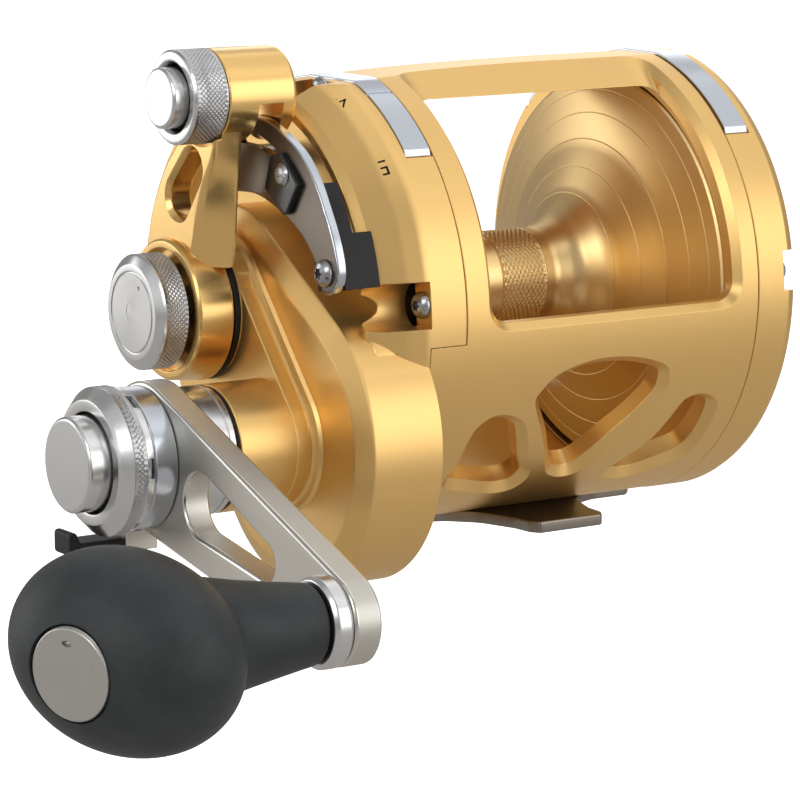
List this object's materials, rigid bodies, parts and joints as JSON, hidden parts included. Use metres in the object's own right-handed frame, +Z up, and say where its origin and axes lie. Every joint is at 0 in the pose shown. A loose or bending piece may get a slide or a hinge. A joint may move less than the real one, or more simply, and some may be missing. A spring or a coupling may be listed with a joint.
{
  "type": "trolling reel",
  "caption": "Two-speed lever-drag trolling reel with a windowed one-piece frame, deep flared spool, side crank with rubber knob and a foot for a rod seat.",
  "frame": {"origin": "centre of the flat underside of the reel foot, below the spool axis and midway between the two plate seams", "axes": "+X along the spool axis from the handle side to the far side, -Y towards the rod tip, +Z up away from the rod"},
  "size_m": [0.2036, 0.1595, 0.115],
  "materials": {
    "gold_anodised": "satin gold anodised, fine turned grain",
    "bright_steel": "polished and knurled bright metal",
    "inner_steel": "ground stainless steel",
    "bronze_gear": "cut gear bronze",
    "champagne_arm": "bead-blasted, bright chamfered edges",
    "dark_foot": "dark stamped stainless steel",
    "black_plastic": "moulded black plastic",
    "carbon_drag": "woven carbon friction face",
    "knob_rubber": "matte black rubber"
  },
  "bodies": {
    "frame": {"frame": "gold_anodised", "reel_foot": "dark_foot", "strap_right": "bright_steel", "strap_left": "bright_steel", "right_side_plate": "gold_anodised", "bridge_plate": "gold_anodised", "left_side_plate": "gold_anodised", "left_bearing_cap": "bright_steel", "left_bearing": "inner_steel", "pinion_bearing": "inner_steel", "gear_shaft_bearing": "inner_steel", "gear_seal": "black_plastic", "hub_seal": "black_plastic", "plate_screw_right_1": "bright_steel", "plate_screw_right_2": "bright_steel", "plate_screw_right_3": "bright_steel", "plate_screw_left_1": "bright_steel", "plate_screw_left_2": "bright_steel", "plate_screw_left_3": "bright_steel", "quadrant_plate": "bright_steel", "quadrant_block": "black_plastic", "quadrant_post": "inner_steel", "quadrant_screw": "bright_steel", "strike_stop": "black_plastic", "strike_screw": "bright_steel"},
    "spool_shaft": {"spool_shaft": "inner_steel", "preset_spring": "inner_steel"},
    "preset_knob": {"preset_knob": "bright_steel"},
    "spool": {"spool": "gold_anodised", "drag_washer": "carbon_drag", "spool_bearing_right": "inner_steel", "spool_bearing_left": "inner_steel", "click_gear": "bronze_gear"},
    "pinion": {"pinion_high": "inner_steel", "pinion_low": "inner_steel", "drag_plate": "inner_steel"},
    "handle": {"gear_shaft": "inner_steel", "main_gear_high": "bronze_gear", "ratchet_wheel": "inner_steel", "handle_collar": "bright_steel", "handle_arm": "champagne_arm", "nut_base": "bright_steel", "nut_lock_ring": "bright_steel", "handle_nut": "bright_steel", "knob_spindle": "bright_steel", "shift_spring": "inner_steel"},
    "low_gear": {"main_gear_low": "bronze_gear"},
    "shift_button": {"shift_button": "bright_steel"},
    "shift_latch": {"shift_latch": "black_plastic"},
    "knob": {"knob": "knob_rubber", "knob_cap": "bright_steel"},
    "drag_lever": {"drag_lever": "gold_anodised", "lever_ring": "bright_steel", "lever_cam": "inner_steel", "lever_button_spring": "inner_steel"},
    "lever_button": {"lever_button": "bright_steel"},
    "dog": {"anti_reverse_dog": "inner_steel"},
    "clicker": {"click_pawl": "inner_steel", "click_button": "gold_anodised"}
  },
  "joints": [
    {"name": "handle_turn", "type": "hinge", "parent": "frame", "child": "handle", "pos_m": [0, -0.0221, 0.0235], "axis": [1, 0, 0], "continuous": true},
    {"name": "pinion_turn", "type": "hinge", "parent": "frame", "child": "pinion", "pos_m": [0, 0, 0.048], "axis": [1, 0, 0], "continuous": true},
    {"name": "low_gear_turn", "type": "hinge", "parent": "frame", "child": "low_gear", "pos_m": [0, -0.0221, 0.0235], "axis": [1, 0, 0], "continuous": true},
    {"name": "lever_swing", "type": "hinge", "parent": "frame", "child": "drag_lever", "pos_m": [0, 0, 0.048], "axis": [1, 0, 0], "range_deg": [-58, 24]},
    {"name": "shaft_slide", "type": "slide", "parent": "frame", "child": "spool_shaft", "axis": [1, 0, 0], "range_m": [-0.000167, 0.0004]},
    {"name": "spool_turn", "type": "hinge", "parent": "spool_shaft", "child": "spool", "pos_m": [0, 0, 0.048], "axis": [1, 0, 0], "continuous": true},
    {"name": "preset_knob_turn", "type": "hinge", "parent": "spool_shaft", "child": "preset_knob", "pos_m": [0, 0, 0.048], "axis": [1, 0, 0], "range_deg": [-180, 180]},
    {"name": "lever_button_push", "type": "slide", "parent": "drag_lever", "child": "lever_button", "axis": [1, 0, 0], "range_m": [0, 0.0025], "deforming": ["lever_button_spring"]},
    {"name": "shift_button_push", "type": "slide", "parent": "handle", "child": "shift_button", "axis": [1, 0, 0], "range_m": [0, 0.0027], "deforming": ["shift_spring"]},
    {"name": "shift_latch_swing", "type": "hinge", "parent": "handle", "child": "shift_latch", "pos_m": [-0.0986, -0.0176, 0.0063], "axis": [0, 1, 0], "range_deg": [-12, 3]},
    {"name": "knob_spin", "type": "hinge", "parent": "handle", "child": "knob", "pos_m": [0, -0.0899, 0.0042], "axis": [1, 0, 0], "continuous": true},
    {"name": "dog_swing", "type": "hinge", "parent": "frame", "child": "dog", "pos_m": [0, -0.0147, 0.00764], "axis": [1, 0, 0], "range_deg": [-12, 0]},
    {"name": "clicker_slide", "type": "slide", "parent": "frame", "child": "clicker", "axis": [0, 0.8829, 0.4695], "range_m": [0, 0.004]}
  ],
  "couplings": [
    {"joint": "pinion_turn", "follows": "handle_turn", "ratio": -3.4},
    {"joint": "spool_turn", "follows": "handle_turn", "ratio": -3.4},
    {"joint": "low_gear_turn", "follows": "handle_turn", "ratio": 1.9429},
    {"joint": "lever_swing", "follows": "shaft_slide", "rad_per_m": -2500}
  ]
}
